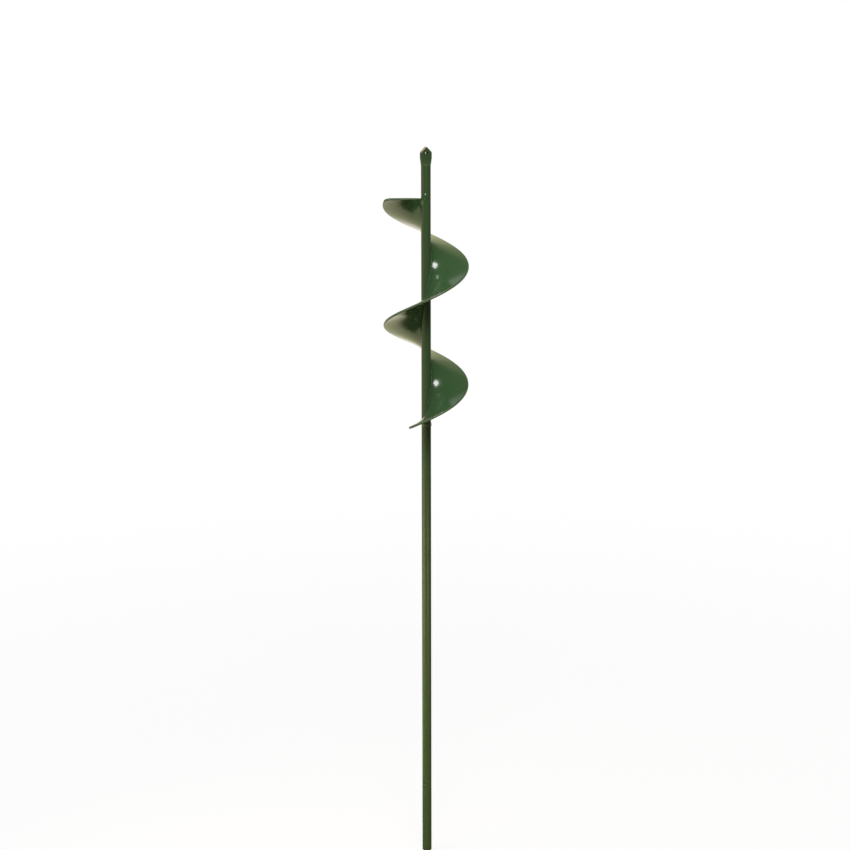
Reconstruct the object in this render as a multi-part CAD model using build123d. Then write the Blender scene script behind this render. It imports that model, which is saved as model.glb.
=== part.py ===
"""Drill-driven earth auger: a round steel bar with a helical digging flight welded to it.

Frame: millimetres, +Z along the bar from the shank end (origin) up to the digging point,
+X to the right and +Y away from someone who faces the auger.
"""
import os
from math import pi, radians, sqrt, tan

from build123d import *

# Bar
total_length = 609.6         # 24 in, shank end to digging point
bar_diameter = 7.9375        # 5/16 in round bar, held by a drill chuck
shank_chamfer = 1.3          # 45 degree lead on the end that enters the chuck

# Digging point, forged flat from the end of the bar
spade_width = 9.6
spade_thickness = 5.3
spade_length = 9.0           # flat faces, measured back from the point
spade_runout = 6.0           # length over which the flats rise to the round bar
spade_turn = 18.0            # degrees that the flat faces are turned about the bar
point_angle = 90.0           # degrees between the two edges of the V
hang_hole_diameter = 2.3
hang_hole_drop = 4.9         # from the digging point to the hole's centre

# Flight, one ribbon of sheet that winds right-handed round the bar
flight_diameter = 69.85      # 2 3/4 in hole
flight_pitch = 97.3
flight_turns = 1.88
flight_drop = 40.8           # from the digging point to the sheet's middle at the digging end
flight_end_angle = 202.0     # degrees about the bar, from +X, of the digging end
sheet_thickness = 1.9        # 14 gauge
digging_corner_radius = 4.5  # outer corner at the digging end
trailing_corner_radius = 2.0

# Root weld, a fillet along the flight's root on the side that faces the point
root_weld_leg = 1.6
root_weld_crown = 0.25       # how far the bead's face stands out from a flat fillet
root_weld_stop = 40.0        # degrees short of the digging end

# Tip end weld, a bead on the bar where the flight's digging end meets it
tip_weld_length = 13.0       # along the bar
tip_weld_height = 1.1        # over the bar
tip_weld_depth = 2.5         # from the bar's surface down to the middle of the bead's round section
tip_weld_rise = 1.7          # the bead's middle stands this far past the flight's end
tip_weld_lead = 30.0         # degrees past the flight's end

# Shank end weld, a bead that wraps the bar under the flight's trailing end
shank_weld_length = 5.0
shank_weld_toe = 1.6         # length over which each end rises from the bar
shank_weld_height = 0.5      # over the bar
shank_weld_depth = 0.6       # how deep it is fused into the bar
shank_weld_drop = 3.0        # the bead's middle stands this far below the flight's end

# Worked out from the sizes above
bar_radius = bar_diameter / 2
spade_radius = spade_width / 2
rim_radius = flight_diameter / 2
root_reach = bar_radius + root_weld_leg
rise_per_radian = flight_pitch / (2 * pi)
flight_height = flight_pitch * flight_turns
flight_top = total_length - flight_drop
flight_bottom = flight_top - flight_height
flight_start_angle = flight_end_angle - 360 * flight_turns
margin = bar_radius / 8      # how far a shape runs past the face that cuts it, or that it cuts
face_bands = 3               # arcs that draw a face of the sheet from the root weld's toe to the rim


def upright_thickness(radius):
    """Height of the sheet's section in a plane through the axis, for an even sheet thickness."""
    return sheet_thickness * sqrt(1 + (rise_per_radian / radius) ** 2)


def turned(outline):
    """Revolve an outline about the Z axis. Its points are (radius, height)."""
    return revolve(Plane.XZ * make_face(outline), Axis.Z)


def wound(outline, height):
    """Wind an outline up the bar from the flight's trailing end. Its points are (radius, height)."""
    path = Helix(flight_pitch, height, rim_radius)
    ribbon = sweep(Plane.XZ * make_face(outline), path=path, is_frenet=True)
    return Pos(0, 0, flight_bottom) * Rot(0, 0, flight_start_angle) * ribbon


def round_bar():
    """The bar's own cylinder, which trims whatever is welded to it."""
    return Cylinder(bar_radius, total_length, align=(Align.CENTER, Align.CENTER, Align.MIN))


def forged_bar():
    """The bar with its chamfered shank end and its flattened, V-cut point."""
    flat_start = total_length - spade_length
    runout_start = flat_start - spade_runout
    bar = turned(
        Polyline(
            (0, 0),
            (bar_radius - shank_chamfer, 0),
            (bar_radius, shank_chamfer),
            (bar_radius, runout_start),
            (spade_radius, flat_start),
            (spade_radius, total_length),
            (0, total_length),
            close=True,
        )
    )

    outside = 2 * spade_radius
    above = total_length + margin
    flat_edges = Polyline(
        (spade_thickness / 2, flat_start),
        (spade_thickness / 2, above),
        (outside, above),
        (outside, runout_start),
        (bar_radius, runout_start),
    )
    runout_arc = TangentArc(
        (spade_thickness / 2, flat_start), (bar_radius, runout_start), tangent=(0, -1)
    )
    flat_side = Plane.YZ * make_face([*flat_edges.edges(), runout_arc])
    flat_cut = extrude(flat_side, outside, both=True)

    bevel_edges = Polyline(
        (0, total_length),
        (outside, total_length - outside / tan(radians(point_angle / 2))),
        (outside, above),
        (0, above),
        close=True,
    )
    bevel_cut = extrude(Plane.XZ * make_face(bevel_edges), outside, both=True)

    hole_place = Pos(0, 0, total_length - hang_hole_drop) * Rot(90, 0, 0)
    hang_hole = hole_place * Cylinder(hang_hole_diameter / 2, 2 * spade_width)
    for cut in (flat_cut, mirror(flat_cut, Plane.XZ), bevel_cut, mirror(bevel_cut, Plane.YZ), hang_hole):
        bar -= cut
    return Rot(0, 0, spade_turn) * bar


def sheet_face(side):
    """Arcs that draw the sheet's upper (1) or lower (-1) face, from inside the bar out to the rim."""
    growth = (rim_radius / root_reach) ** (1 / face_bands)
    radii = [bar_radius - margin]
    radii += [root_reach * growth**band for band in range(face_bands + 1)]
    arcs = []
    for inner, outer in zip(radii, radii[1:]):
        stops = (inner, sqrt(inner * outer), outer)
        arcs.append(ThreePointArc(*[(stop, side * upright_thickness(stop) / 2) for stop in stops]))
    return arcs


def corner_cut(corner_radius, side):
    """What rounding takes off a corner of the rim, for a sheet on that side (1 or -1) of the XZ plane."""
    centre_x = sqrt((rim_radius - corner_radius) ** 2 - corner_radius**2)
    centre = Vector(centre_x, side * corner_radius)
    beyond_rim = centre * ((rim_radius + margin) / (rim_radius - corner_radius))
    corner = Polyline(
        centre,
        (centre_x, -side * margin),
        (rim_radius + margin, -side * margin),
        beyond_rim,
        close=True,
    )
    waste = make_face(corner) - Pos(centre) * Circle(corner_radius)
    return extrude(waste, flight_pitch / 4, both=True)


def helical_flight():
    """Ribbon of even thickness, trimmed to the bar, with both outer corners rounded."""
    upper = sheet_face(1)
    lower = sheet_face(-1)
    rim = Line(upper[-1] @ 1, lower[-1] @ 1)
    root = Line(lower[0] @ 0, upper[0] @ 0)
    digging_end = Pos(0, 0, flight_top) * Rot(0, 0, flight_end_angle)
    trailing_end = Pos(0, 0, flight_bottom) * Rot(0, 0, flight_start_angle)
    ribbon = wound([*upper, rim, *lower, root], flight_height) - round_bar()
    ribbon -= digging_end * corner_cut(digging_corner_radius, -1)
    ribbon -= trailing_end * corner_cut(trailing_corner_radius, 1)
    return ribbon


def root_bead():
    """Weld that fills the corner between the flight's upper face and the bar."""
    on_sheet = sheet_face(1)[0]
    climb = root_weld_leg * rise_per_radian / bar_radius
    toe = on_sheet @ 1
    top = Vector((on_sheet @ 0).X, upright_thickness(bar_radius) / 2 + climb)
    outward = Vector(top.Y - toe.Y, toe.X - top.X).normalized()
    crown = ThreePointArc(toe, (toe + top) / 2 + outward * root_weld_crown, top)
    height = flight_height - flight_pitch * root_weld_stop / 360
    return wound([on_sheet, crown, Line(top, on_sheet @ 0)], height) - round_bar()


def tip_bead():
    """Weld at the flight's digging end, a rod with round ends that lies mostly inside the bar."""
    bead_radius = tip_weld_depth + tip_weld_height
    end_height = tip_weld_length / 2 - sqrt(bead_radius**2 - tip_weld_depth**2)
    rod = turned(
        [
            CenterArc((0, -end_height), bead_radius, -90, 90),
            Line((bead_radius, -end_height), (bead_radius, end_height)),
            CenterArc((0, end_height), bead_radius, 0, 90),
            Line((0, end_height + bead_radius), (0, -end_height - bead_radius)),
        ]
    )
    place = Pos(0, 0, flight_top + tip_weld_rise) * Rot(0, 0, flight_end_angle + tip_weld_lead)
    return place * Pos(bar_radius - tip_weld_depth, 0, 0) * rod - round_bar()


def shank_bead():
    """Weld that wraps the bar under the flight's trailing end, with the ring of bar that it melted."""
    end = shank_weld_length / 2
    shoulder = end - shank_weld_toe
    crest = bar_radius + shank_weld_height
    sunk = bar_radius - shank_weld_depth
    outline = Polyline(
        (sunk, -end),
        (bar_radius, -end),
        (crest, -shoulder),
        (crest, shoulder),
        (bar_radius, end),
        (sunk, end),
        close=True,
    )
    return Pos(0, 0, flight_bottom - shank_weld_drop) * turned(outline)


flight = helical_flight()
wrap = shank_bead()
parts = {
    "shaft": forged_bar() - wrap,
    "flight": flight,
    "root_weld": root_bead(),
    "tip_end_weld": tip_bead() - flight,
    "shank_end_weld": wrap - flight,
}

os.makedirs("parts", exist_ok=True)
for name, solid in parts.items():
    export_step(solid, f"parts/{name}.step")
    print(name, round(solid.volume, 1), "mm3")
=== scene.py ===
# Drill-driven earth auger: enamelled steel bar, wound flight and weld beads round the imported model.
# Settings are in millimetres and degrees, Blender objects in metres.
import math

import bmesh
import bpy
from mathutils import Matrix, Vector


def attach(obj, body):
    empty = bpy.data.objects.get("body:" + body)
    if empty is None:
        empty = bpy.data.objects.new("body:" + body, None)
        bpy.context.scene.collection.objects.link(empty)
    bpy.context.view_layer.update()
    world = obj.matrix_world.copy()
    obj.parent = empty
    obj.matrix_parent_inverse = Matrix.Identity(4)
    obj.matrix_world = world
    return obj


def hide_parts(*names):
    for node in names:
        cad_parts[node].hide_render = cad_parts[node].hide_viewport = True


mm = 0.001
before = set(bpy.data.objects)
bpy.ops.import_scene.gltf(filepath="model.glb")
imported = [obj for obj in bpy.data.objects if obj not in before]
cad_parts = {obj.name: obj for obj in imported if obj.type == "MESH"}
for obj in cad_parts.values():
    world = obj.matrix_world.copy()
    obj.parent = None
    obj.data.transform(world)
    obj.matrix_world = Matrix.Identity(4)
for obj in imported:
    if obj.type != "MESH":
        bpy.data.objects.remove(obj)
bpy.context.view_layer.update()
print("frame loaded:", ", ".join(sorted(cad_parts)))


def linearColour(hexCode):
    parts = [int(hexCode[i:i + 2], 16) / 255 for i in (1, 3, 5)]
    return tuple(p / 12.92 if p <= 0.04045 else ((p + 0.055) / 1.055) ** 2.4 for p in parts) + (1.0,)


# An input is a fixed value or another node's socket. A Mix node's colours are 6 and 7, its numbers 2 and 3.
def addNode(tree, kind, inputs=None, **settings):
    node = tree.nodes.new(kind)
    for name, value in settings.items():
        setattr(node, name, value)
    for key, value in (inputs or {}).items():
        if isinstance(value, bpy.types.NodeSocket):
            tree.links.new(value, node.inputs[key])
        else:
            node.inputs[key].default_value = value
    return node


def emptyTree(owner):  # of a material or a world
    owner.use_nodes = True
    owner.node_tree.nodes.clear()
    return owner.node_tree


def startTree(name, sizes):
    tree = bpy.data.node_groups.new(name, "GeometryNodeTree")
    tree.interface.new_socket("Geometry", in_out="OUTPUT", socket_type="NodeSocketGeometry")
    for label in sizes:
        tree.interface.new_socket(label, in_out="INPUT", socket_type="NodeSocketFloat")
    given = tree.nodes.new("NodeGroupInput")
    return tree, {label: given.outputs[label] for label in sizes}


def endTree(tree, geometry, material):
    realized = addNode(tree, "GeometryNodeRealizeInstances", {"Geometry": geometry})
    painted = addNode(
        tree, "GeometryNodeSetMaterial", {"Geometry": realized.outputs[0], "Material": material}
    )
    addNode(tree, "NodeGroupOutput", {"Geometry": painted.outputs[0]})


def meshFromTree(name, tree, sizes):
    holder = bpy.data.objects.new(name, bpy.data.meshes.new(name + "Start"))
    bpy.context.scene.collection.objects.link(holder)
    modifier = holder.modifiers.new("rule", "NODES")
    modifier.node_group = tree
    for item in tree.interface.items_tree:
        if item.in_out == "INPUT":
            modifier[item.identifier] = float(sizes[item.name])
    return plainMesh(holder)


def plainMesh(holder):  # the evaluated shape becomes the object's own mesh, with no modifier left
    bpy.context.view_layer.update()
    shown = holder.evaluated_get(bpy.context.evaluated_depsgraph_get())
    mesh = bpy.data.meshes.new_from_object(shown)
    holder.modifiers.clear()
    holder.data = mesh
    return holder


def setInPlace(piece, node):
    piece.data.name = piece.name
    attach(piece, "root")
    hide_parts(node)
    print(f"{piece.name}: {len(piece.data.polygons)} faces, stands for {node}")


# Alkyd enamel, dipped over steel: a dark green gloss film whose slight orange peel breaks up reflections.
# It is thin on edges, and the sheet's rim is painted paler: thinner paint and a painted highlight together.
# Near the
#  bar the sheet is painted darker: pooled paint and painted shade in the corner. On the sheet and the end
#      beads a clear
#  skin of resin lies over the film and shows the lamps more sharply, and it thins out to nothing on the
#  sheet's rim. On the bar the film is duller and a little more olive, without that skin.
enamel = {
    "film": "#395a34",
    "barFilm": "#3d5431",
    # darker film where paint pools at random, also the colour of the painted shade near the bar
    "pooledAndShaded": "#2c4b29",
    # paler film of the rim: thinner paint and a painted highlight
    "thinAndHighlit": "#667557",
    "peelWidth": 1.6, "peelDetail": 2.0,             # real peel is 1 to 2 mm wide
    "peelHeight": 0.10,                              # more than the real one, so that it shows
    "nibSpacing": 7.0, "nibShare": 0.09,             # dust nibs, and their size as a share of the spacing
    "nibHeight": 0.03,
    "cloudWidth": 45.0, "cloudDetail": 3.0,          # slow change in film thickness
    "poolFrom": (0.35, 0.7), "glossFrom": (0.3, 0.7),  # the range of it that colour and gloss follow
    "sheetPatches": 0.35, "barPatches": 0.3, "beadPatches": 0.7, "rootPatches": 0.9,
    "gloss": (0.20, 0.28),
    "barGloss": (0.26, 0.34),
    "rootGloss": (0.32, 0.40),
    "skinGloss": 0.09,
    "ior": 1.5,
    # rim: width of the paler band (also where the skin thins) and how far it pales, thinner paint and a
    # painted highlight
    "edgeWidth": 0.7, "edgeThinAndHighlight": 0.75,
    # near the bar: width and depth of the darkening, pooled paint and painted shade in the corner
    "cornerWidth": 5.0, "cornerPoolAndShade": 0.8,
}


def enamelOn(name, film, patches, gloss, skin, hasEdges=False):
    material = bpy.data.materials.new(name)
    tree = emptyTree(material)
    place = addNode(tree, "ShaderNodeTexCoord").outputs["Object"]
    cloud, peel = [
        addNode(
            tree, "ShaderNodeTexNoise", {"Vector": place, "Scale": 1 / (width * mm), "Detail": detail}
        ).outputs["Fac"]
        for width, detail in (
            (enamel["cloudWidth"], enamel["cloudDetail"]), (enamel["peelWidth"], enamel["peelDetail"])
        )
    ]
    nibs = addNode(
        tree, "ShaderNodeTexVoronoi", {"Vector": place, "Scale": 1 / (enamel["nibSpacing"] * mm)}
    ).outputs["Distance"]
    nibDot = addNode(
        tree, "ShaderNodeMapRange",
        {"Value": nibs, "From Min": 0.0, "From Max": enamel["nibShare"], "To Min": 1.0, "To Max": 0.0},
        interpolation_type="SMOOTHSTEP",
    ).outputs[0]
    pooling = addNode(
        tree, "ShaderNodeMapRange",
        {"Value": cloud, "From Min": enamel["poolFrom"][0], "From Max": enamel["poolFrom"][1],
         "To Min": 0.0, "To Max": patches},
    ).outputs[0]
    colour = addNode(
        tree, "ShaderNodeMix",
        {"Factor": pooling, 6: linearColour(film), 7: linearColour(enamel["pooledAndShaded"])},
        data_type="RGBA",
    ).outputs[2]
    if hasEdges:
        inward = addNode(tree, "ShaderNodeAttribute", attribute_name="edgeDistance").outputs["Fac"]
        outward = addNode(tree, "ShaderNodeAttribute", attribute_name="rootDistance").outputs["Fac"]
        # darker near the bar (painted shade in the corner) and paler on the rim (thinner paint and a painted
        # highlight)
        for distance, width, most, tone in (
            (outward, enamel["cornerWidth"], enamel["cornerPoolAndShade"], enamel["pooledAndShaded"]),
            (inward, enamel["edgeWidth"], enamel["edgeThinAndHighlight"], enamel["thinAndHighlit"]),
        ):
            share = addNode(
                tree, "ShaderNodeMapRange",
                {"Value": distance, "From Min": 0.0, "From Max": width, "To Min": most, "To Max": 0.0},
            ).outputs[0]
            colour = addNode(
                tree, "ShaderNodeMix", {"Factor": share, 6: colour, 7: linearColour(tone)}, data_type="RGBA"
            ).outputs[2]
        skin = addNode(
            tree, "ShaderNodeMapRange",
            {"Value": inward, "From Min": 0.0, "From Max": enamel["edgeWidth"],
             "To Min": 0.0, "To Max": skin},
        ).outputs[0]
    rough = addNode(
        tree, "ShaderNodeMapRange",
        {"Value": cloud, "From Min": enamel["glossFrom"][0], "From Max": enamel["glossFrom"][1],
         "To Min": gloss[0], "To Max": gloss[1]},
    ).outputs[0]
    wavy = addNode(
        tree, "ShaderNodeBump", {"Height": peel, "Strength": 1.0, "Distance": enamel["peelHeight"] * mm}
    ).outputs[0]
    surface = addNode(
        tree, "ShaderNodeBump",
        {"Height": nibDot, "Strength": 1.0, "Distance": enamel["nibHeight"] * mm, "Normal": wavy},
    ).outputs[0]
    shader = addNode(
        tree, "ShaderNodeBsdfPrincipled",
        {"Base Color": colour, "Roughness": rough, "Normal": surface, "Metallic": 0.0, "IOR": enamel["ior"],
         "Coat Weight": skin, "Coat Roughness": enamel["skinGloss"], "Coat IOR": enamel["ior"],
         "Coat Normal": surface},
    )
    addNode(tree, "ShaderNodeOutputMaterial", {"Surface": shader.outputs[0]})
    return material


sheetEnamel = enamelOn(
    "greenEnamelOnSheet", enamel["film"], enamel["sheetPatches"], enamel["gloss"], skin=1.0, hasEdges=True
)
barEnamel = enamelOn(
    "greenEnamelOnBar", enamel["barFilm"], enamel["barPatches"], enamel["barGloss"], skin=0.0
)
beadEnamel = enamelOn("greenEnamelOnBead", enamel["film"], enamel["beadPatches"], enamel["gloss"], skin=1.0)
rootEnamel = enamelOn(
    "greenEnamelInCorner", enamel["film"], enamel["rootPatches"], enamel["rootGloss"], skin=0.0
)
print("enamel ready")

# Mild steel, ground after painting: the V shows bright metal with fine lines square to its edges. Real
# lines are finer, and these are as coarse as they need to be to show.
groundSteel = {
    "pale": "#e8cca8", "dull": "#bea688",
    "grainWidth": 0.35, "stretch": (1.0, 0.12, 1.0),
    "ridge": 0.4, "ridgeHeight": 0.01,
    "gloss": (0.40, 0.55),
    "bare": 0.35,                    # how far it looks like bare metal
}
# The hole's wall: drilled steel, dull, painted near black as the shade inside the hole
shadedHoleWall = {
    "pale": "#10180f", "dull": "#1c2418",
    "grainWidth": 0.8, "stretch": (1.0, 1.0, 1.0),
    "ridge": 0.4, "ridgeHeight": 0.01,
    "gloss": (0.75, 0.85),
    "bare": 0.0,
}


def steelOn(name, steel):
    material = bpy.data.materials.new(name)
    tree = emptyTree(material)
    place = addNode(tree, "ShaderNodeTexCoord").outputs["Object"]
    drawn = addNode(
        tree, "ShaderNodeMapping", {"Vector": place, "Scale": steel["stretch"]}, vector_type="POINT"
    ).outputs[0]
    grain = addNode(
        tree, "ShaderNodeTexNoise", {"Vector": drawn, "Scale": 1 / (steel["grainWidth"] * mm)}
    ).outputs["Fac"]
    colour = addNode(
        tree, "ShaderNodeMix",
        {"Factor": grain, 6: linearColour(steel["pale"]), 7: linearColour(steel["dull"])},
        data_type="RGBA",
    ).outputs[2]
    rough = addNode(
        tree, "ShaderNodeMapRange",
        {"Value": grain, "To Min": steel["gloss"][0], "To Max": steel["gloss"][1]},
    ).outputs[0]
    ridges = addNode(
        tree, "ShaderNodeBump",
        {"Height": grain, "Strength": steel["ridge"], "Distance": steel["ridgeHeight"] * mm},
    ).outputs[0]
    shader = addNode(
        tree, "ShaderNodeBsdfPrincipled",
        {"Base Color": colour, "Roughness": rough, "Normal": ridges, "Metallic": steel["bare"]},
    )
    addNode(tree, "ShaderNodeOutputMaterial", {"Surface": shader.outputs[0]})
    return material


pointSteel = steelOn("groundMildSteel", groundSteel)
holeShadeSteel = steelOn("holeWallPaintedShade", shadedHoleWall)
print("steel ready")

# Flight: a ribbon of sheet wound round the bar, an even thickness square to itself, with a soft painted edge
flight = {
    "rimRadius": 34.925,
    "rootRadius": 2.6,                      # inside the bar
    "barRadius": 3.96875,
    "risePerRadian": 97.3 / (2 * math.pi),  # pitch over a full turn
    "turnAngle": 1.88 * 360,
    "endAngle": 202.0,
    "endHeight": 568.8,
    "halfThickness": 0.95,
    "edgeRound": 0.6,
    "diggingCorner": 4.5,
    "trailingCorner": 2.0,
    "waveHeight": 0.30,                     # the sheet isn't perfectly true
    "waveWidth": 38.0,
    "mergeWithin": 0.0005,                  # points closer than this are joined
    "rows": 720, "columns": 84,             # of faces along the ribbon and round its section
    "waveDetail": 1.0,
    "rootShare": 0.0001,                    # of the width, where the two faces close inside the bar
}
flightAngles = ("turnAngle", "endAngle")
flightPlain = ("rows", "columns", "waveDetail", "rootShare")  # not sizes, so no inputs of the tree
# Each row: result, operation, and terms that are sizes, earlier results or numbers
flightRows = [
    # turn along the ribbon, with faces crowded towards both ends
    ("alongShare", "ADD", "gridX", 0.5),
    ("triple", "MULTIPLY_ADD", "alongShare", -2.0, 3.0),
    ("square", "MULTIPLY", "alongShare", "alongShare"),
    ("eased", "MULTIPLY", "square", "triple"),
    ("fromTrail", "MULTIPLY", "eased", "turnAngle"),
    ("fromTip", "SUBTRACT", "turnAngle", "fromTrail"),
    # how far the rim reaches out, less where a corner is rounded
    ("nearEnd", "MINIMUM", "fromTrail", "fromTip"),
    ("inFromEnd", "MULTIPLY", "nearEnd", "rimRadius"),
    ("atTrail", "LESS_THAN", "fromTrail", "fromTip"),
    ("cornerStep", "SUBTRACT", "trailingCorner", "diggingCorner"),
    ("corner", "MULTIPLY_ADD", "cornerStep", "atTrail", "diggingCorner"),
    ("cornerLeft", "SUBTRACT", "corner", "inFromEnd"),
    ("cornerAlong", "MAXIMUM", "cornerLeft", 0.0),
    ("cornerSquare", "MULTIPLY", "corner", "corner"),
    ("alongSquare", "MULTIPLY", "cornerAlong", "cornerAlong"),
    ("reachSquare", "SUBTRACT", "cornerSquare", "alongSquare"),
    ("cornerReach", "SQRT", "reachSquare"),
    ("cornerStart", "SUBTRACT", "rimRadius", "corner"),
    ("reach", "ADD", "cornerStart", "cornerReach"),
    # radius, with across 0 at the root and 1 at the rim
    ("turnedY", "MULTIPLY", "gridY", 2.0),
    ("offRim", "ABSOLUTE", "turnedY"),
    ("across", "SUBTRACT", 1.0, "offRim"),
    ("acrossAngle", "MULTIPLY", "across", math.pi / 2),
    ("acrossEased", "SINE", "acrossAngle"),
    ("depth", "SUBTRACT", "reach", "rootRadius"),
    ("radius", "MULTIPLY_ADD", "depth", "acrossEased", "rootRadius"),
    # half thickness, rounded off towards the rim and the ends
    ("pastStart", "SUBTRACT", "radius", "cornerStart"),
    ("cornerOut", "MAXIMUM", "pastStart", 0.0),
    ("outSquare", "MULTIPLY", "cornerOut", "cornerOut"),
    ("bothSquares", "ADD", "alongSquare", "outSquare"),
    ("fromCentre", "SQRT", "bothSquares"),
    ("inFromEdge", "SUBTRACT", "corner", "fromCentre"),
    ("edgeRatio", "DIVIDE", "inFromEdge", "edgeRound"),
    ("edgeLow", "MAXIMUM", "edgeRatio", 0.0),
    ("edgeShare", "MINIMUM", "edgeLow", 1.0),
    ("edgeRest", "SUBTRACT", 2.0, "edgeShare"),
    ("noseSquare", "MULTIPLY", "edgeShare", "edgeRest"),
    ("nose", "SQRT", "noseSquare"),
    ("offRoot", "GREATER_THAN", "across", flight["rootShare"]),
    ("side", "SIGN", "gridY"),
    ("halfHere", "MULTIPLY", "nose", "halfThickness"),
    ("halfSide", "MULTIPLY", "halfHere", "side"),
    ("lift", "MULTIPLY", "halfSide", "offRoot"),
    # place of the sheet's middle, and the way that its face looks there
    ("angle", "SUBTRACT", "endAngle", "fromTip"),
    ("drop", "MULTIPLY", "fromTip", "risePerRadian"),
    ("height", "SUBTRACT", "endHeight", "drop"),
    ("cosine", "COSINE", "angle"),
    ("sine", "SINE", "angle"),
    ("midX", "MULTIPLY", "radius", "cosine"),
    ("midY", "MULTIPLY", "radius", "sine"),
    ("normalX", "MULTIPLY", "risePerRadian", "sine"),
    ("riseTurned", "MULTIPLY", "risePerRadian", "cosine"),
    ("normalY", "MULTIPLY", "riseTurned", -1.0),
    ("waveScale", "DIVIDE", 1.0, "waveWidth"),
    ("waveSize", "MULTIPLY", "waveHeight", "acrossEased"),
    # distances that the enamel reads, in millimetres
    ("edgeMillimetres", "DIVIDE", "inFromEdge", mm),
    ("overBar", "SUBTRACT", "radius", "barRadius"),
    ("rootMillimetres", "DIVIDE", "overBar", mm),
]


def makeFlight():
    sizes = {}
    for label, value in flight.items():
        if label not in flightPlain:
            sizes[label] = math.radians(value) if label in flightAngles else value * mm
    tree, known = startTree("flightRule", sizes)
    grid = addNode(
        tree, "GeometryNodeMeshGrid",
        {"Size X": 1.0, "Size Y": 1.0,
         "Vertices X": flight["rows"] + 1, "Vertices Y": flight["columns"] + 1},
    ).outputs["Mesh"]
    spot = addNode(
        tree, "ShaderNodeSeparateXYZ", {0: addNode(tree, "GeometryNodeInputPosition").outputs[0]}
    ).outputs
    known["gridX"], known["gridY"] = spot[0], spot[1]
    for result, operation, *terms in flightRows:
        inputs = {i: known[t] if isinstance(t, str) else t for i, t in enumerate(terms)}
        known[result] = addNode(tree, "ShaderNodeMath", inputs, operation=operation).outputs[0]
    middle = addNode(
        tree, "ShaderNodeCombineXYZ", {0: known["midX"], 1: known["midY"], 2: known["height"]}
    ).outputs[0]
    faceWay = addNode(
        tree, "ShaderNodeCombineXYZ", {0: known["normalX"], 1: known["normalY"], 2: known["radius"]}
    ).outputs[0]
    normal = addNode(tree, "ShaderNodeVectorMath", {0: faceWay}, operation="NORMALIZE").outputs[0]
    wave = addNode(
        tree, "ShaderNodeTexNoise",
        {"Vector": middle, "Scale": known["waveScale"], "Detail": flight["waveDetail"]},
    ).outputs["Fac"]
    upOrDown = addNode(tree, "ShaderNodeMath", {0: wave, 1: 0.5}, operation="SUBTRACT").outputs[0]
    offset = addNode(
        tree, "ShaderNodeMath", {0: upOrDown, 1: known["waveSize"], 2: known["lift"]},
        operation="MULTIPLY_ADD",
    ).outputs[0]
    lifted = addNode(
        tree, "ShaderNodeVectorMath", {0: normal, "Scale": offset}, operation="SCALE"
    ).outputs[0]
    place = addNode(tree, "ShaderNodeVectorMath", {0: middle, 1: lifted}, operation="ADD").outputs[0]
    marked = grid
    for label, value in (("edgeDistance", "edgeMillimetres"), ("rootDistance", "rootMillimetres")):
        marked = addNode(
            tree, "GeometryNodeStoreNamedAttribute",
            {"Geometry": marked, "Name": label, "Value": known[value]},
        ).outputs[0]
    wound = addNode(tree, "GeometryNodeSetPosition", {"Geometry": marked, "Position": place}).outputs[0]
    closed = addNode(
        tree, "GeometryNodeMergeByDistance", {"Geometry": wound, "Distance": known["mergeWithin"]}
    ).outputs[0]
    smooth = addNode(tree, "GeometryNodeSetShadeSmooth", {"Geometry": closed}).outputs[0]
    endTree(tree, smooth, sheetEnamel)
    return meshFromTree("flightSheet", tree, sizes)


flightSheet = makeFlight()
setInPlace(flightSheet, "flight")

# Bar: round stock, one end chamfered for the chuck, the other forged flat, sheared to a V and drilled
bar = {
    "length": 609.6,
    "radius": 3.96875,
    "chamfer": 1.3,
    "spadeHalfWidth": 4.8,
    "spadeHalfThickness": 2.65,
    "flatStart": 600.6,
    "runoutStart": 594.6,
    "forgedEdge": 0.45,                      # rounding left where the flats meet the round
    "turn": 18.0,
    "holeRadius": 1.09,                      # paint narrows the hole a little
    "holeLip": 0.12,
    "holeHeight": 604.7,
    "holeSides": 48,
    "drillPast": 2.0,                        # how far the drill runs past each face
    "leastSine": 1e-6,                       # keeps the way to the flat from being divided by nothing
    "softEdge": 0.22, "softSteps": 3, "softAngle": 28.0,
    "creaseAngle": 32.0,
    "around": 96,
    "rows": 44,
    "groundFacing": 0.69,                    # a face that looks this far up and sideways is ground
    "wallFacing": 0.5, "wallReach": 0.1,     # hole's wall: looks less far out, within this share of the lip
}


def spadeSection(share, height):  # outline point at this share of the turn
    rise = min(max((height - bar["runoutStart"]) / (bar["flatStart"] - bar["runoutStart"]), 0), 1)
    roundHere = bar["radius"] + (bar["spadeHalfWidth"] - bar["radius"]) * rise
    press = math.sqrt(max(rise * (2 - rise), 0))
    flatHere = bar["radius"] + (bar["spadeHalfThickness"] - bar["radius"]) * press
    angle = 2 * math.pi * share
    toFlat = flatHere / max(abs(math.sin(angle)), bar["leastSine"])
    blend = bar["forgedEdge"] * rise
    gap = max(blend - abs(roundHere - toFlat), 0)
    reach = min(roundHere, toFlat) - (gap * gap / (4 * blend) if blend > 0 else 0)
    return reach * math.cos(angle), reach * math.sin(angle)


def circlePoints(count):
    return [(math.cos(2 * math.pi * i / count), math.sin(2 * math.pi * i / count)) for i in range(count)]


def bridgeRings(shape, rings):
    for low, high in zip(rings, rings[1:]):
        for i in range(len(low)):
            j = (i + 1) % len(low)
            shape.faces.new((low[i], low[j], high[j], high[i]))


def barObject(name, shape):  # turned as the flats are, and brought to metres
    shape.transform(Matrix.Rotation(math.radians(bar["turn"]), 4, "Z"))
    shape.transform(Matrix.Scale(mm, 4))
    bmesh.ops.recalc_face_normals(shape, faces=shape.faces)
    mesh = bpy.data.meshes.new(name)
    shape.to_mesh(mesh)
    shape.free()
    piece = bpy.data.objects.new(name, mesh)
    bpy.context.scene.collection.objects.link(piece)
    return piece


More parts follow.
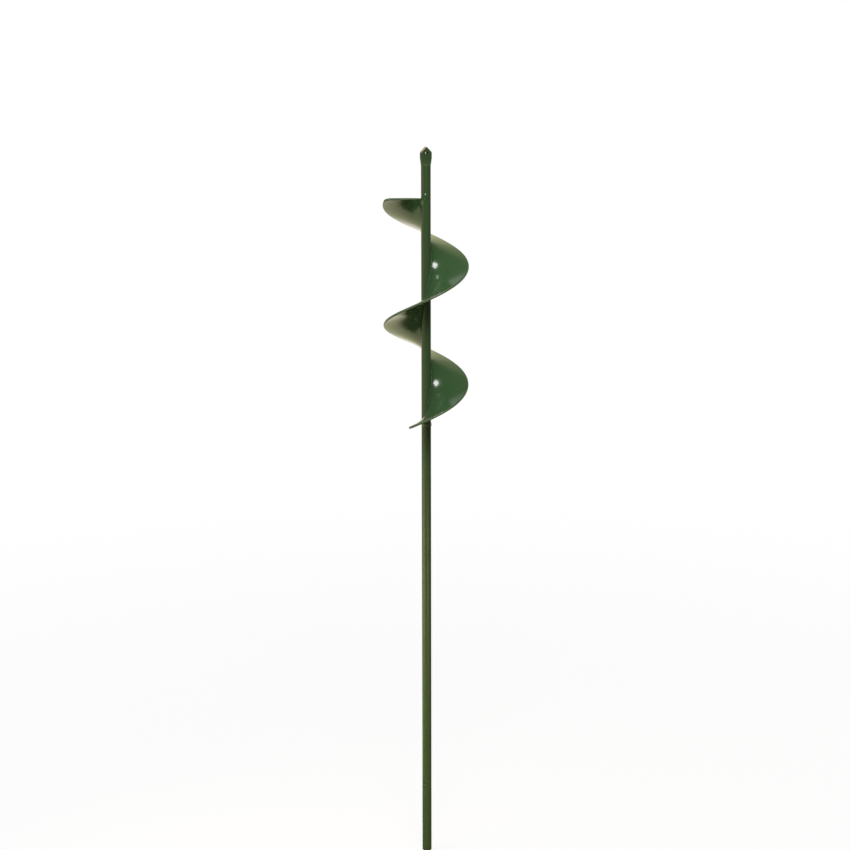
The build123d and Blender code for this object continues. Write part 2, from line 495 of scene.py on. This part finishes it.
def makeBlank():  # the bar before it is drilled
    count, rows = bar["around"], bar["rows"]
    shape = bmesh.new()
    rings = []
    for radius, height in ((bar["radius"] - bar["chamfer"], 0), (bar["radius"], bar["chamfer"])):
        rings.append([shape.verts.new((radius * x, radius * y, height)) for x, y in circlePoints(count)])
    # the V falls at 45 degrees to both sides
    tops = [bar["length"] - abs(spadeSection(i / count, bar["length"])[0]) for i in range(count)]
    for row in range(rows + 1):
        share = row / rows
        ring = []
        for i in range(count):
            height = bar["runoutStart"] + (tops[i] - bar["runoutStart"]) * share
            x, y = spadeSection(i / count, height)
            ring.append(shape.verts.new((x, y, height)))
        rings.append(ring)
    bridgeRings(shape, rings)
    shape.faces.new(list(reversed(rings[0])))
    last = rings[-1]
    half = count // 2
    shape.faces.new((last[0], last[1], last[count - 1]))
    for i in range(1, half - 1):
        shape.faces.new((last[i], last[i + 1], last[count - i - 1], last[count - i]))
    shape.faces.new((last[half - 1], last[half], last[half + 1]))
    return barObject("forgedBar", shape)


def makeDrill():  # the hole with a soft lip at each mouth
    wall, lip, deep = bar["holeRadius"], bar["holeLip"], bar["spadeHalfThickness"]
    profile = [(wall + lip, deep + bar["drillPast"]), (wall + lip, deep)]
    profile += [
        (wall + lip * (1 - math.sin(a)), deep - lip * (1 - math.cos(a)))
        for a in (math.pi / 6, math.pi / 3, math.pi / 2)
    ]
    profile += [(r, -d) for r, d in reversed(profile)]
    shape = bmesh.new()
    rings = []
    for radius, depth in profile:
        rings.append([
            shape.verts.new((radius * x, depth, radius * z)) for x, z in circlePoints(bar["holeSides"])
        ])
    bridgeRings(shape, rings)
    shape.faces.new(rings[0])
    shape.faces.new(rings[-1])
    shape.transform(Matrix.Translation((0, 0, bar["holeHeight"])))
    return barObject("drill", shape)


def makeBar():
    piece = makeBlank()
    soften = piece.modifiers.new("softEdge", "BEVEL")
    soften.width, soften.segments = bar["softEdge"] * mm, bar["softSteps"]
    soften.limit_method, soften.angle_limit = "ANGLE", math.radians(bar["softAngle"])
    drill = makeDrill()
    cut = piece.modifiers.new("hole", "BOOLEAN")
    cut.operation, cut.solver, cut.object = "DIFFERENCE", "EXACT", drill
    plainMesh(piece)
    bpy.data.objects.remove(drill)
    piece.data.polygons.foreach_set("use_smooth", [True] * len(piece.data.polygons))
    piece.data.set_sharp_from_angle(angle=math.radians(bar["creaseAngle"]))
    piece.data.materials.clear()
    for material in (barEnamel, pointSteel, holeShadeSteel):
        piece.data.materials.append(material)
    turn = Matrix.Rotation(math.radians(-bar["turn"]), 3, "Z")
    wallEnd = bar["holeRadius"] + bar["wallReach"] * bar["holeLip"]
    for face in piece.data.polygons:
        spot, way = turn @ face.center / mm, turn @ face.normal
        fromHole = math.hypot(spot.x, spot.z - bar["holeHeight"])
        if way.z > bar["groundFacing"] and abs(way.x) > bar["groundFacing"]:
            face.material_index = 1
        # the hole's wall takes the near-black steel, a painted shade
        elif fromHole < wallEnd and abs(way.y) < bar["wallFacing"]:
            face.material_index = 2
    return piece


forgedBar = makeBar()
setInPlace(forgedBar, "shaft")

# Welds: a row of overlapping puddles along a line on the bar, run together and smoothed under the paint
rootWeld = {
    "startAngle": -474.8, "endAngle": 162.0,
    "startHeight": 388.5, "endHeight": 560.65,
    "lineRadius": 4.3,
    "puddles": 220,
    "outward": 0.9, "across": 1.05, "along": 1.5,  # half sizes of a puddle
    "stray": 0.08, "uneven": 0.12,
    "smoothing": 4, "seed": 11,
}
tipWeld = {
    "startAngle": 208.0, "endAngle": 258.0,
    "startHeight": 566.0, "endHeight": 570.0,
    "lineRadius": 1.7,
    "puddles": 5,
    "outward": 3.2, "across": 2.7, "along": 4.5,
    "stray": 0.5, "uneven": 0.06,
    "smoothing": 5, "seed": 27,
}
shankWeld = {
    "startAngle": 0.0, "endAngle": 349.0,
    "startHeight": 382.7, "endHeight": 383.1,
    "lineRadius": 3.2,
    "puddles": 17,
    "outward": 1.12, "across": 1.1, "along": 2.3,
    "stray": 0.35, "uneven": 0.12,
    "smoothing": 4, "seed": 43,
}
weldMesh = {"voxel": 0.22, "sphereSteps": 3, "smoothBy": 0.5}  # the same for all three
weldAngles = ("startAngle", "endAngle")
weldNumbers = ("puddles", "uneven")    # inputs of the tree without a unit
weldPlain = ("smoothing", "seed")      # no inputs of the tree
weldRows = [
    ("last", "SUBTRACT", "puddles", 1.0),
    ("share", "DIVIDE", "index", "last"),
    ("angleRange", "SUBTRACT", "endAngle", "startAngle"),
    ("angle", "MULTIPLY_ADD", "angleRange", "share", "startAngle"),
    ("heightRange", "SUBTRACT", "endHeight", "startHeight"),
    ("trueHeight", "MULTIPLY_ADD", "heightRange", "share", "startHeight"),
    ("height", "MULTIPLY_ADD", "stray", "strayDraw", "trueHeight"),
    ("cosine", "COSINE", "angle"),
    ("sine", "SINE", "angle"),
    ("lineX", "MULTIPLY", "lineRadius", "cosine"),
    ("lineY", "MULTIPLY", "lineRadius", "sine"),
    ("size", "MULTIPLY_ADD", "uneven", "sizeDraw", 1.0),
]


def makeWeld(name, bead, coat):
    sizes = {}
    for label, value in bead.items():
        if label in weldAngles:
            sizes[label] = math.radians(value)
        elif label not in weldPlain:
            sizes[label] = value if label in weldNumbers else value * mm
    tree, known = startTree(name + "Rule", sizes)
    row = addNode(tree, "GeometryNodeMeshLine", {"Count": bead["puddles"]}).outputs[0]
    known["index"] = addNode(tree, "GeometryNodeInputIndex").outputs[0]
    for label, draw in (("strayDraw", 1), ("sizeDraw", 2)):
        known[label] = addNode(
            tree, "FunctionNodeRandomValue", {2: -1.0, 3: 1.0, "Seed": bead["seed"] + draw},
            data_type="FLOAT",
        ).outputs[1]
    for result, operation, *terms in weldRows:
        inputs = {i: known[t] if isinstance(t, str) else t for i, t in enumerate(terms)}
        known[result] = addNode(tree, "ShaderNodeMath", inputs, operation=operation).outputs[0]
    place = addNode(
        tree, "ShaderNodeCombineXYZ", {0: known["lineX"], 1: known["lineY"], 2: known["height"]}
    ).outputs[0]
    line = addNode(tree, "GeometryNodeSetPosition", {"Geometry": row, "Position": place}).outputs[0]
    extent = addNode(
        tree, "ShaderNodeCombineXYZ", {0: known["outward"], 1: known["across"], 2: known["along"]}
    ).outputs[0]
    sized = addNode(
        tree, "ShaderNodeVectorMath", {0: extent, "Scale": known["size"]}, operation="SCALE"
    ).outputs[0]
    facing = addNode(tree, "ShaderNodeCombineXYZ", {2: known["angle"]}).outputs[0]
    puddle = addNode(
        tree, "GeometryNodeMeshIcoSphere", {"Radius": 1.0, "Subdivisions": weldMesh["sphereSteps"]}
    ).outputs[0]
    puddles = addNode(
        tree, "GeometryNodeInstanceOnPoints",
        {"Points": line, "Instance": puddle, "Rotation": facing, "Scale": sized},
    ).outputs[0]
    endTree(tree, puddles, coat)
    piece = meshFromTree(name, tree, sizes)
    fuse = piece.modifiers.new("fuse", "REMESH")
    fuse.mode, fuse.voxel_size, fuse.use_smooth_shade = "VOXEL", weldMesh["voxel"] * mm, True
    settle = piece.modifiers.new("settle", "SMOOTH")
    settle.factor, settle.iterations = weldMesh["smoothBy"], bead["smoothing"]
    plainMesh(piece)
    piece.data.materials.clear()
    piece.data.materials.append(coat)
    return piece


for name, bead, node, coat in (
    ("rootWeldBead", rootWeld, "root_weld", rootEnamel),
    ("tipWeldBead", tipWeld, "tip_end_weld", beadEnamel),
    ("shankWeldBead", shankWeld, "shank_end_weld", beadEnamel),
):
    setInPlace(makeWeld(name, bead, coat), node)

# Studio, in metres: white paper all round, one lamp in front and above, weak ones at the left and behind,
# and two low warm ones with narrow beams for the lower bar. Dark flags keep the gloss green. Of the white
# it mirrors only the floor at the left and behind, a patch of floor at the front left, and a panel and a
# fainter veil behind.
studio = {
    "white": "#ffffff",
    "warmWhite": "#f5f3c2",
    "farWhite": "#fffbe4",
    "paper": "#f2f2f2",
    "bouncePaper": "#948770",            # tints the light that the floor sends back
    "floorSize": 40.0, "floorDrop": 0.0002,
    "nearGlow": 0.80, "farGlow": 1.0, "glowReach": 1.4,
    "ambientTo": (-0.50, 0.30, 0.81), "ambientFrom": -0.4, "ambientGlow": (0.25, 0.90),
    "flag": 0.08,
    # which way each white lies, from where to where along that way it comes up, and how bright it is
    "floorWhiteTo": (-0.707, 0.707, 0.0), "floorWhiteFrom": (0.06, 0.22), "floorGlow": 0.82,
    "floorFarTo": (0.6, 0.8, 0.0), "floorFarFrom": (0.40, 0.50),
    "floorFrontTo": (-0.93, -0.37, 0.0), "floorFrontFrom": (0.20, 0.36),
    "frontGlow": 0.9, "frontReach": (1.4, 2.2),
    "panelTo": (0.25, 0.93, 0.28), "panelFrom": (0.90, 0.955), "panelGlow": 0.64,
    "veilTo": (0.35, 0.70, 0.62), "veilFrom": (0.90, 1.0), "veilGlow": 0.4,
    "lamps": {
        # name: azimuth from the camera's side (left is negative), elevation, distance, width, height, watts,
        # height of the aim on the bar, beam, colour
        "frontLamp": (4.0, 44.5, 1.5, 0.76, 0.62, 12.0, 0.45, 180, "#ffffff"),
        "leftLamp": (-88.0, 54.0, 1.0, 0.25, 0.14, 0.3, 0.45, 180, "#ffffff"),
        "backLamp": (-163.0, 43.0, 1.5, 0.65, 0.60, 0.35, 0.45, 180, "#ffffff"),
        "lowLeftLamp": (-70.0, 0.0, 0.45, 0.40, 0.18, 0.26, 0.10, 60, "#ffe2b8"),
        "lowFrontLamp": (35.0, 0.0, 0.45, 1.3, 0.20, 0.38, 0.11, 60, "#ffcc9c"),
    },
}


def rayKinds(tree):
    path = addNode(tree, "ShaderNodeLightPath").outputs
    bounced = addNode(
        tree, "ShaderNodeMath", {0: path["Is Glossy Ray"], 1: path["Is Transmission Ray"]},
        operation="MAXIMUM",
    ).outputs[0]
    return path["Is Camera Ray"], bounced


# Paler as a place or a direction lies further along way
def whiteToward(tree, spot, way, limits, top=1.0, low=studio["flag"]):
    along = addNode(
        tree, "ShaderNodeVectorMath", {0: spot, 1: way}, operation="DOT_PRODUCT"
    ).outputs["Value"]
    return addNode(
        tree, "ShaderNodeMapRange",
        {"Value": along, "From Min": limits[0], "From Max": limits[1], "To Min": low, "To Max": top},
        interpolation_type="SMOOTHSTEP",
    ).outputs[0]


def makeSurround():
    world = bpy.data.worlds.new("whiteSurround")
    tree = emptyTree(world)
    camera, bounced = rayKinds(tree)
    way = addNode(tree, "ShaderNodeTexCoord").outputs["Generated"]
    panel = whiteToward(tree, way, studio["panelTo"], studio["panelFrom"], studio["panelGlow"])
    veil = whiteToward(tree, way, studio["veilTo"], studio["veilFrom"], studio["veilGlow"])
    behind = addNode(tree, "ShaderNodeMath", {0: panel, 1: veil}, operation="MAXIMUM").outputs[0]
    across = addNode(
        tree, "ShaderNodeVectorMath", {0: way, 1: studio["ambientTo"]}, operation="DOT_PRODUCT"
    ).outputs["Value"]
    ambient = addNode(
        tree, "ShaderNodeMapRange",
        {"Value": across, "From Min": studio["ambientFrom"],
         "To Min": studio["ambientGlow"][0], "To Max": studio["ambientGlow"][1]},
    ).outputs[0]
    lit = addNode(
        tree, "ShaderNodeMix", {"Factor": bounced, 2: ambient, 3: behind}, data_type="FLOAT"
    ).outputs[0]
    level = addNode(tree, "ShaderNodeMath", {0: lit, 1: camera}, operation="MAXIMUM").outputs[0]
    skyTone = addNode(
        tree, "ShaderNodeMix",
        {"Factor": bounced, 6: linearColour(studio["white"]), 7: linearColour(studio["warmWhite"])},
        data_type="RGBA",
    ).outputs[2]
    glow = addNode(tree, "ShaderNodeBackground", {"Color": skyTone, "Strength": level}).outputs[0]
    addNode(tree, "ShaderNodeOutputWorld", {"Surface": glow})
    bpy.context.scene.world = world


# Matte paper: an even white without gloss, which keeps a soft shadow near the auger and glows further off
def paperOnFloor():
    paper = bpy.data.materials.new("whitePaperSweep")
    tree = emptyTree(paper)
    camera, bounced = rayKinds(tree)
    spot = addNode(tree, "ShaderNodeTexCoord").outputs["Object"]
    away = addNode(tree, "ShaderNodeVectorMath", {0: spot}, operation="LENGTH").outputs["Value"]
    glowHere = addNode(
        tree, "ShaderNodeMapRange",
        {"Value": away, "From Min": 0.0, "From Max": studio["glowReach"],
         "To Min": studio["nearGlow"], "To Max": studio["farGlow"]},
        interpolation_type="SMOOTHSTEP",
    ).outputs[0]
    seenGlow = addNode(tree, "ShaderNodeMath", {0: camera, 1: glowHere}, operation="MULTIPLY").outputs[0]
    share = addNode(tree, "ShaderNodeMath", {0: seenGlow, 1: bounced}, operation="MAXIMUM").outputs[0]
    far = whiteToward(tree, spot, studio["floorFarTo"], studio["floorFarFrom"], low=0.0)
    sideGlow = addNode(
        tree, "ShaderNodeMath", {0: far, 1: 1 - studio["floorGlow"], 2: studio["floorGlow"]},
        operation="MULTIPLY_ADD",
    ).outputs[0]
    side = whiteToward(tree, spot, studio["floorWhiteTo"], studio["floorWhiteFrom"], sideGlow)
    front = whiteToward(tree, spot, studio["floorFrontTo"], studio["floorFrontFrom"])
    fade = addNode(
        tree, "ShaderNodeMapRange",
        {"Value": away, "From Min": studio["frontReach"][0], "From Max": studio["frontReach"][1],
         "To Min": studio["frontGlow"], "To Max": 0.0},
        interpolation_type="SMOOTHSTEP",
    ).outputs[0]
    frontHere = addNode(tree, "ShaderNodeMath", {0: front, 1: fade}, operation="MULTIPLY").outputs[0]
    mirrored = addNode(tree, "ShaderNodeMath", {0: side, 1: frontHere}, operation="MAXIMUM").outputs[0]
    strength = addNode(tree, "ShaderNodeMath", {0: mirrored, 1: camera}, operation="MAXIMUM").outputs[0]
    tone = addNode(
        tree, "ShaderNodeMix",
        {"Factor": camera, 6: linearColour(studio["bouncePaper"]), 7: linearColour(studio["paper"])},
        data_type="RGBA",
    ).outputs[2]
    matte = addNode(tree, "ShaderNodeBsdfDiffuse", {"Color": tone}).outputs[0]
    mirroredTone = addNode(
        tree, "ShaderNodeMix",
        {"Factor": far, 6: linearColour(studio["warmWhite"]), 7: linearColour(studio["farWhite"])},
        data_type="RGBA",
    ).outputs[2]
    glowTone = addNode(
        tree, "ShaderNodeMix", {"Factor": camera, 6: mirroredTone, 7: linearColour(studio["white"])},
        data_type="RGBA",
    ).outputs[2]
    bright = addNode(tree, "ShaderNodeEmission", {"Color": glowTone, "Strength": strength}).outputs[0]
    mixed = addNode(tree, "ShaderNodeMixShader", {0: share, 1: matte, 2: bright}).outputs[0]
    addNode(tree, "ShaderNodeOutputMaterial", {"Surface": mixed})
    return paper


def makeFloor():
    half = studio["floorSize"] / 2
    mesh = bpy.data.meshes.new("paperFloor")
    corners = [
        (x * half, y * half, -studio["floorDrop"]) for x, y in ((-1, -1), (1, -1), (1, 1), (-1, 1))
    ]
    mesh.from_pydata(corners, [], [(0, 1, 2, 3)])
    mesh.materials.append(paperOnFloor())
    floor = bpy.data.objects.new("paperFloor", mesh)
    bpy.context.scene.collection.objects.link(floor)


def makeLamps():
    for name, settings in studio["lamps"].items():
        azimuth, elevation, distance, width, height, watts, aim, beam, tone = settings
        a, e = math.radians(azimuth), math.radians(elevation)
        away = Vector((math.sin(a) * math.cos(e), -math.cos(a) * math.cos(e), math.sin(e)))
        light = bpy.data.lights.new(name, "AREA")
        light.shape, light.size, light.size_y, light.energy = "ELLIPSE", width, height, watts
        light.spread, light.color = math.radians(beam), linearColour(tone)[:3]
        lamp = bpy.data.objects.new(name, light)
        bpy.context.scene.collection.objects.link(lamp)
        lamp.location = Vector((0, 0, aim)) + away * distance
        lamp.visible_camera = False
        lamp.rotation_mode = "QUATERNION"
        lamp.rotation_quaternion = away.to_track_quat("Z", "Y")


makeSurround()
makeFloor()
makeLamps()
print("studio lit")

# Camera: looks a little down along +Y, from where the photograph was taken
view = {
    "target": (-1.068, 0.0, 382.24),
    "distance": 1250.0,
    "tilt": 11.52,
    "roll": -0.116,
    "focalPixels": 1504.5,
    "imagePixels": 850,
    "sensor": 36.0,
    "clip": (10.0, 50000.0),
}


def makeCamera():
    tilt, roll = math.radians(view["tilt"]), math.radians(view["roll"])
    forward = Vector((0, math.cos(tilt), -math.sin(tilt)))
    level = Vector((1, 0, 0))
    upright = level.cross(forward)
    right = level * math.cos(roll) + upright * math.sin(roll)
    up = right.cross(forward)
    data = bpy.data.cameras.new("photoCamera")
    data.sensor_width = view["sensor"]
    data.lens = view["focalPixels"] / view["imagePixels"] * view["sensor"]
    data.clip_start, data.clip_end = view["clip"][0] * mm, view["clip"][1] * mm
    camera = bpy.data.objects.new("photoCamera", data)
    bpy.context.scene.collection.objects.link(camera)
    spot = (Vector(view["target"]) - forward * view["distance"]) * mm
    turn = Matrix((right, up, -forward)).transposed().to_4x4()
    camera.matrix_world = Matrix.Translation(spot) @ turn
    bpy.context.scene.camera = camera


makeCamera()
bpy.context.scene.view_settings.view_transform = "Standard"
print("camera set")
